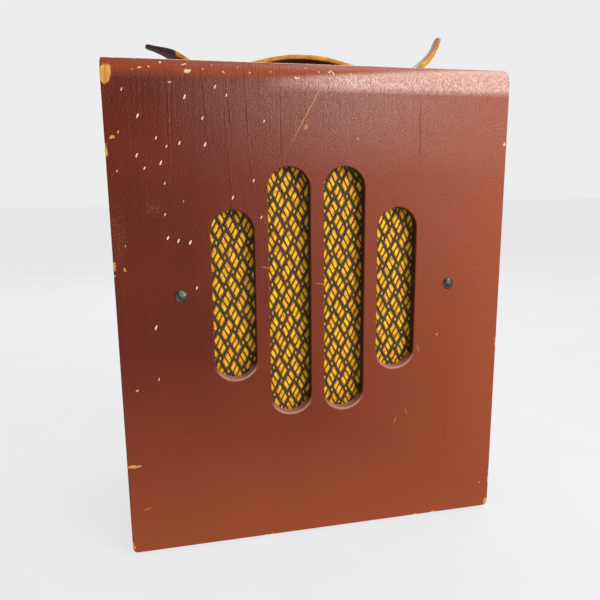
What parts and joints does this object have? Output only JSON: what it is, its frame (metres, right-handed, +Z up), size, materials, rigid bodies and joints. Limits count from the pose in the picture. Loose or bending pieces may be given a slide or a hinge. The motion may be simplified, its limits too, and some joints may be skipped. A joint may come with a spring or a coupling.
{
  "type": "tabletop radio",
  "caption": "Upright valve radio in a red-brown covered wooden case, with a slotted grille over gold cloth, a leather strap handle and controls on the back.",
  "frame": {"origin": "middle of the underside, level with the feet", "axes": "+Z up, the grille faces -Y, +X to the right seen from the front"},
  "size_m": [0.28, 0.1444, 0.3775],
  "materials": {
    "covering": "red-brown leatherette over board, fine pebble, worn",
    "bare_wood": "bare softwood",
    "hardboard": "brown hardboard, smooth side out",
    "grille_fabric": "woven gold and brown speaker cloth",
    "strap_leather": "brown grain, orange-tan cut edges",
    "aged_bronze": "aged, grey-green",
    "nickel": "dull nickel plate",
    "rubber": "matt",
    "plated_steel": "dull plated steel",
    "panel_paint": "dark brown wrinkle paint",
    "bakelite": "polished brown",
    "cone_paper": "dark grey felted paper",
    "valve_glass": "clear, silvered at the top",
    "can_aluminium": "spun, dull",
    "dial_card": "cream enamel with black marks",
    "clear_window": "clear",
    "pointer_enamel": "red"
  },
  "bodies": {
    "cabinet": {"front_board": "covering", "top_board": "covering", "side_board_left": "covering", "side_board_right": "covering", "bottom_board": "covering", "rear_rail": "covering", "baffle_board": "bare_wood", "rear_cleat_left": "bare_wood", "rear_cleat_right": "bare_wood", "back_cover": "hardboard", "grille_cloth": "grille_fabric", "trim_screw_left": "aged_bronze", "trim_screw_right": "aged_bronze", "handle_loop_left": "nickel", "handle_loop_right": "nickel", "handle_loop_screw_left_front": "nickel", "handle_loop_screw_left_rear": "nickel", "handle_loop_screw_right_front": "nickel", "handle_loop_screw_right_rear": "nickel", "back_screw_lower_left": "nickel", "back_screw_lower_right": "nickel", "back_screw_upper_left": "nickel", "back_screw_upper_right": "nickel", "foot_front_left": "rubber", "foot_front_right": "rubber", "foot_rear_left": "rubber", "foot_rear_right": "rubber", "cord_grommet": "rubber", "speaker_frame": "plated_steel", "speaker_magnet": "plated_steel", "output_transformer": "plated_steel", "chassis": "plated_steel", "volume_control": "plated_steel", "tone_control": "plated_steel", "control_panel": "panel_paint", "terminal_strip": "bakelite", "valve_rf_amplifier": "valve_glass", "valve_detector": "valve_glass", "valve_output": "valve_glass", "valve_rectifier": "valve_glass", "aerial_coil_can": "can_aluminium", "filter_capacitor": "can_aluminium", "capacitor_frame": "can_aluminium", "capacitor_stator": "can_aluminium", "dial_scale": "dial_card", "dial_window": "clear_window"},
    "volume": {"volume_knob": "bakelite", "volume_shaft": "nickel"},
    "tone": {"tone_knob": "bakelite", "tone_shaft": "nickel"},
    "tuning": {"tuning_knob": "bakelite", "tuning_spindle": "nickel"},
    "dial_drive": {"capacitor_rotor": "can_aluminium", "drive_wheel": "can_aluminium", "dial_pointer": "pointer_enamel"},
    "speaker_cone_body": {"speaker_cone": "cone_paper", "voice_coil": "cone_paper"},
    "strap_middle": {"strap_grip": "strap_leather"},
    "strap_left_end": {"strap_tail_left": "strap_leather"},
    "strap_right_end": {"strap_tail_right": "strap_leather"}
  },
  "joints": [
    {"name": "volume_turn", "type": "hinge", "parent": "cabinet", "child": "volume", "pos_m": [-0.08, 0.0522, 0.036], "axis": [0, -1, 0], "range_deg": [0, 300]},
    {"name": "tone_turn", "type": "hinge", "parent": "cabinet", "child": "tone", "pos_m": [0.08, 0.0522, 0.036], "axis": [0, -1, 0], "range_deg": [0, 300]},
    {"name": "tuning_turn", "type": "hinge", "parent": "cabinet", "child": "tuning", "pos_m": [0, 0.0522, 0.036], "axis": [0, -1, 0], "range_deg": [-720, 720]},
    {"name": "dial_drive_turn", "type": "hinge", "parent": "cabinet", "child": "dial_drive", "pos_m": [0, 0.0522, 0.0814], "axis": [0, -1, 0], "range_deg": [-90, 90]},
    {"name": "cone_travel", "type": "slide", "parent": "cabinet", "child": "speaker_cone_body", "axis": [0, -1, 0], "range_m": [-0.0015, 0.0015], "stiffness_N_per_m": 600},
    {"name": "strap_lift", "type": "slide", "parent": "cabinet", "child": "strap_middle", "axis": [0, 0, 1], "range_m": [0, 0.012]},
    {"name": "strap_left_slide", "type": "slide", "parent": "strap_middle", "child": "strap_left_end", "axis": [0.3846, 0, -0.9231], "range_m": [0, 0.013]},
    {"name": "strap_right_slide", "type": "slide", "parent": "strap_middle", "child": "strap_right_end", "axis": [-0.3846, 0, -0.9231], "range_m": [0, 0.013]}
  ],
  "couplings": [
    {"joint": "dial_drive_turn", "follows": "tuning_turn", "ratio": -0.125},
    {"joint": "strap_left_slide", "follows": "strap_lift", "ratio": 1.0833},
    {"joint": "strap_right_slide", "follows": "strap_lift", "ratio": 1.0833}
  ]
}
